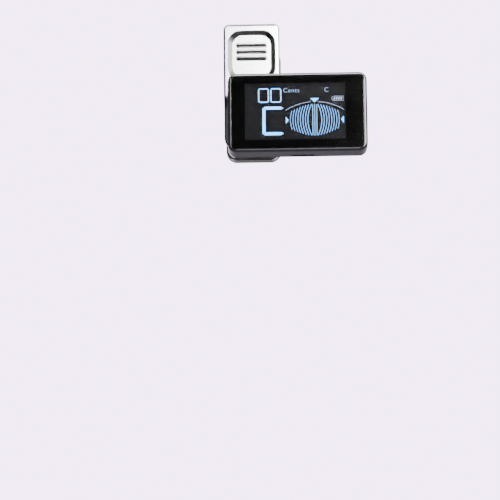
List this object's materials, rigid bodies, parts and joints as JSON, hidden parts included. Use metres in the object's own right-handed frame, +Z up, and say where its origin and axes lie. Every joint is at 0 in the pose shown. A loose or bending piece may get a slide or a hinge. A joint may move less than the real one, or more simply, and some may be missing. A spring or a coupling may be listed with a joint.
{
  "type": "clip-on instrument tuner",
  "caption": "Sprung two-arm metal clip with rubber pads, carrying a rectangular black-faced tuner display on a swivel and tilt joint.",
  "frame": {"origin": "centre of the front pad's gripping face, which rests on the front of the instrument's headstock", "axes": "+Z up along the clip towards the levers, the display looks along -Y, +Y from the front pad towards the rear pad, +X to the display's right"},
  "size_m": [0.0524, 0.0494, 0.0522],
  "materials": {
    "satin_silver": "satin cast metal with a fine blasted grain",
    "black_casing": "black anodised, with a bright cut chamfer round the lens",
    "bright_steel": "nickel plated steel",
    "spring_steel": "drawn spring steel",
    "white_nylon": "moulded nylon",
    "black_rubber": "matt moulded rubber",
    "black_lens": "glossy black-bordered lens",
    "lcd_glass": "dark LCD glass with pale blue lit segments",
    "black_plastic": "moulded black plastic",
    "light_guide": "frosted light guide",
    "circuit_board": "green solder mask",
    "chip_package": "moulded epoxy",
    "led_package": "phosphor covered",
    "adhesive_tape": "foam tape",
    "battery_pouch": "laminated foil",
    "brass_plate": "thin rolled sheet",
    "ceramic": "silvered ceramic",
    "red_lead": "PVC insulation"
  },
  "bodies": {
    "front_clip": {"front_arm": "satin_silver", "front_pad": "black_rubber", "hinge_pin": "bright_steel", "hinge_clip": "bright_steel", "clip_spring": "spring_steel", "spring_bush": "white_nylon"},
    "rear_clip": {"rear_arm": "satin_silver", "rear_pad": "black_rubber"},
    "swivel": {"swivel_base": "satin_silver", "swivel_screw": "bright_steel", "swivel_wave_washer": "spring_steel", "swivel_friction_washer": "white_nylon"},
    "head": {"front_frame": "black_casing", "display_lens": "black_lens", "lens_tape": "adhesive_tape", "lcd_panel": "lcd_glass", "backlight_guide": "light_guide", "backlight_strip": "circuit_board", "backlight_led_1": "led_package", "backlight_led_2": "led_package", "lcd_bracket": "black_plastic", "zebra_connector": "black_rubber", "main_board": "circuit_board", "tuner_chip": "chip_package", "amp_chip": "chip_package", "charge_chip": "chip_package", "crystal": "bright_steel", "power_switch": "black_plastic", "mode_switch": "black_plastic", "usb_port": "bright_steel", "usb_tongue": "black_plastic", "battery": "battery_pouch", "battery_tape": "adhesive_tape", "battery_lead_plus": "red_lead", "battery_lead_minus": "black_plastic", "piezo_plate": "brass_plate", "piezo_ceramic": "ceramic", "piezo_lead_1": "red_lead", "piezo_lead_2": "black_plastic", "rear_cover": "black_casing", "cover_screw_1": "bright_steel", "cover_screw_2": "bright_steel", "cover_screw_3": "bright_steel", "cover_screw_4": "bright_steel", "board_screw_1": "bright_steel", "board_screw_2": "bright_steel", "tilt_screw": "bright_steel", "tilt_nut": "bright_steel", "tilt_washer_left": "white_nylon", "tilt_washer_right": "white_nylon"},
    "power_button": {"power_button": "black_rubber"},
    "mode_button": {"mode_button": "black_rubber"}
  },
  "joints": [
    {"name": "clip_open", "type": "hinge", "parent": "front_clip", "child": "rear_clip", "pos_m": [0, 0.0065, 0.0165], "axis": [1, 0, 0], "range_deg": [0, 38], "stiffness_Nm_per_rad": 0.2, "springref_deg": -34.38, "deforming": ["clip_spring"]},
    {"name": "head_swivel", "type": "hinge", "parent": "front_clip", "child": "swivel", "pos_m": [0, -0.0054, 0.0006], "axis": [0, 1, 0], "continuous": true},
    {"name": "head_tilt", "type": "hinge", "parent": "swivel", "child": "head", "pos_m": [0, -0.0108, 0.0006], "axis": [1, 0, 0], "range_deg": [-20, 20]},
    {"name": "power_press", "type": "slide", "parent": "head", "child": "power_button", "axis": [0, -1, 0], "range_m": [0, 0.0004], "stiffness_N_per_m": 2500, "springref_m": -0.0002},
    {"name": "mode_press", "type": "slide", "parent": "head", "child": "mode_button", "axis": [0, -1, 0], "range_m": [0, 0.0004], "stiffness_N_per_m": 2500, "springref_m": -0.0002}
  ]
}
